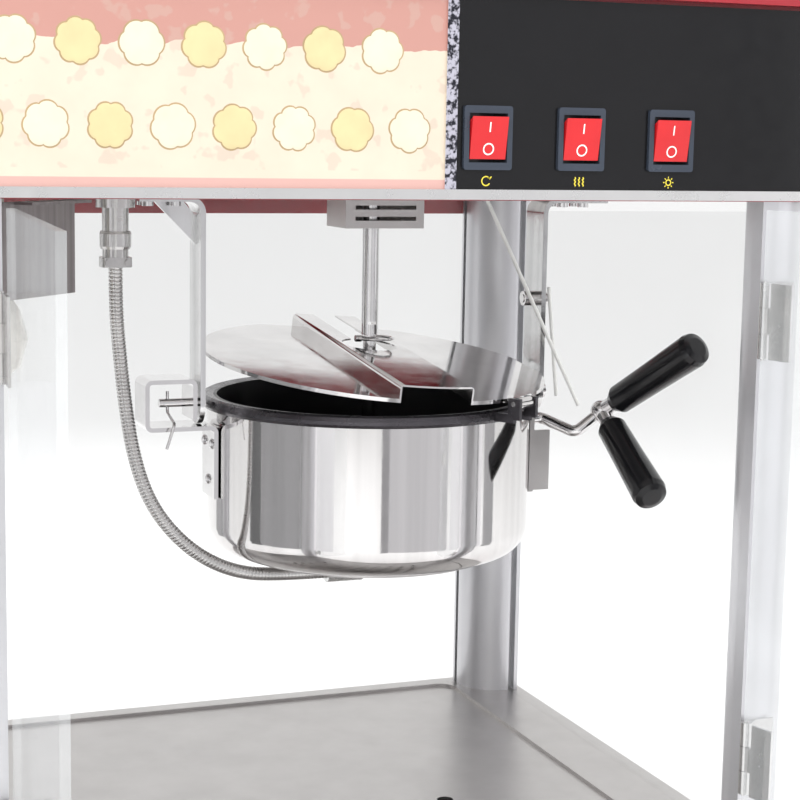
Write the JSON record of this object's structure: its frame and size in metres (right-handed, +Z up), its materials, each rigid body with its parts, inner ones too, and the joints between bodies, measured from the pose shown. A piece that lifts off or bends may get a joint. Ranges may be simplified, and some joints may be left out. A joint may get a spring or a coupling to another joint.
{
  "type": "popcorn maker",
  "caption": "Cabinet popcorn maker with a tilting motor-stirred kettle hung under a header, glazed sides, two doors, a crumb drawer and a peaked roof.",
  "frame": {"origin": "centre of the cabinet's footprint, on the table, at the undersides of the feet", "axes": "+X to the operator's right along the header, -Y toward the operator's side with doors and switches, +Z up"},
  "size_m": [0.5052, 0.6149, 0.652],
  "materials": {
    "red_paint": "satin",
    "red_steel": "satin",
    "anodised": "satin",
    "post": "satin",
    "steel": "brushed",
    "chrome": "polished",
    "mirror_steel": "polished",
    "dark_steel": "satin",
    "black_gloss": "gloss",
    "bezel_plastic": "gloss",
    "rocker_red": "gloss",
    "sign": "satin",
    "glass": "clear",
    "acrylic": "clear",
    "bulb_glass": "frosted",
    "ceramic": "matte",
    "nonstick": "satin",
    "rubber": "matte",
    "heater": "matte"
  },
  "bodies": {
    "cabinet": {"base_housing": "red_steel", "rubber_feet": "rubber", "power_inlet": "black_gloss", "deck_pan": "steel", "deck_heater": "heater", "front_left_post": "post", "front_right_post": "post", "rear_left_post": "post", "rear_right_post": "post", "side_glasses": "glass", "customer_glass": "glass", "header_frame": "red_paint", "header_trim": "anodised", "sign_panels": "sign", "control_panel": "black_gloss", "switch_bezels": "bezel_plastic", "roof": "red_paint", "ceiling_plate": "steel", "motor_bracket": "steel", "gear_motor": "dark_steel", "lamp_socket": "ceramic", "lamp_bulb": "bulb_glass", "lamp_shield": "steel", "left_hanger": "chrome", "right_hanger": "chrome", "hanger_bolts": "chrome", "stay_rods": "chrome", "hose_connector": "chrome", "hose_clamp": "dark_steel", "hose": "steel", "door_hinge_fixed": "steel"},
    "drive": {"drive_shaft": "chrome"},
    "kettle": {"kettle_shell": "mirror_steel", "kettle_pan": "nonstick", "kettle_rim": "dark_steel", "heater_ring": "heater", "thermostat": "steel", "kettle_base_cover": "steel", "left_clip": "chrome", "pivot_pins": "chrome", "left_cotter": "chrome", "bracket_rivets": "chrome", "right_bracket": "steel", "hose_gland": "anodised", "crank_rod": "chrome", "handle_hub": "chrome"},
    "stirrer": {"stirrer": "chrome", "ring_pin": "chrome"},
    "lid": {"kettle_lid": "mirror_steel"},
    "upper_grip": {"upper_grip": "black_gloss"},
    "lower_grip": {"lower_grip": "black_gloss"},
    "left_door": {"left_door": "acrylic", "left_door_fittings": "steel"},
    "right_door": {"right_door": "acrylic", "right_door_fittings": "steel"},
    "drawer": {"crumb_drawer": "steel", "drawer_knob": "black_gloss"},
    "rocker_turn": {"rocker_turn": "rocker_red"},
    "rocker_heat": {"rocker_heat": "rocker_red"},
    "rocker_light": {"rocker_light": "rocker_red"}
  },
  "joints": [
    {"name": "kettle_tilt", "type": "hinge", "parent": "cabinet", "child": "kettle", "pos_m": [0, 0, 0.38575], "axis": [1, 0, 0], "range_deg": [0, 80], "deforming": ["hose"]},
    {"name": "drive_spin", "type": "hinge", "parent": "cabinet", "child": "drive", "pos_m": [0.053, 0, 0.45], "axis": [0, 0, 1], "continuous": true},
    {"name": "stirrer_spin", "type": "hinge", "parent": "kettle", "child": "stirrer", "pos_m": [0.053, 0, 0.33], "axis": [0, 0, 1], "continuous": true},
    {"name": "lid_hinge", "type": "hinge", "parent": "kettle", "child": "lid", "pos_m": [0.10997, -0.09736, 0.393], "axis": [0.859, 0.512, 0], "range_deg": [-7.8, 2]},
    {"name": "upper_grip_spin", "type": "hinge", "parent": "kettle", "child": "upper_grip", "pos_m": [0.19, -0.04, 0.377], "axis": [0.2589, -0.8104, 0.5256], "continuous": true},
    {"name": "lower_grip_spin", "type": "hinge", "parent": "kettle", "child": "lower_grip", "pos_m": [0.19, -0.04, 0.377], "axis": [-0.0412, -0.8734, -0.4852], "continuous": true},
    {"name": "left_door_hinge", "type": "hinge", "parent": "cabinet", "child": "left_door", "pos_m": [-0.1985, -0.2035, 0.325], "axis": [0, 0, 1], "range_deg": [-10, 94.5]},
    {"name": "right_door_hinge", "type": "hinge", "parent": "cabinet", "child": "right_door", "pos_m": [0.1985, -0.2035, 0.325], "axis": [0, 0, 1], "range_deg": [-105, 10]},
    {"name": "drawer_slide", "type": "slide", "parent": "cabinet", "child": "drawer", "axis": [0, -1, 0], "range_m": [0, 0.18]},
    {"name": "rocker_turn_hinge", "type": "hinge", "parent": "cabinet", "child": "rocker_turn", "pos_m": [0.037, -0.2035, 0.5405], "axis": [1, 0, 0], "range_deg": [-18, 0]},
    {"name": "rocker_heat_hinge", "type": "hinge", "parent": "cabinet", "child": "rocker_heat", "pos_m": [0.0876, -0.2035, 0.5405], "axis": [1, 0, 0], "range_deg": [-18, 0]},
    {"name": "rocker_light_hinge", "type": "hinge", "parent": "cabinet", "child": "rocker_light", "pos_m": [0.1382, -0.2035, 0.5405], "axis": [1, 0, 0], "range_deg": [-18, 0]}
  ],
  "couplings": [
    {"joint": "drive_spin", "follows": "stirrer_spin", "ratio": 1}
  ]
}
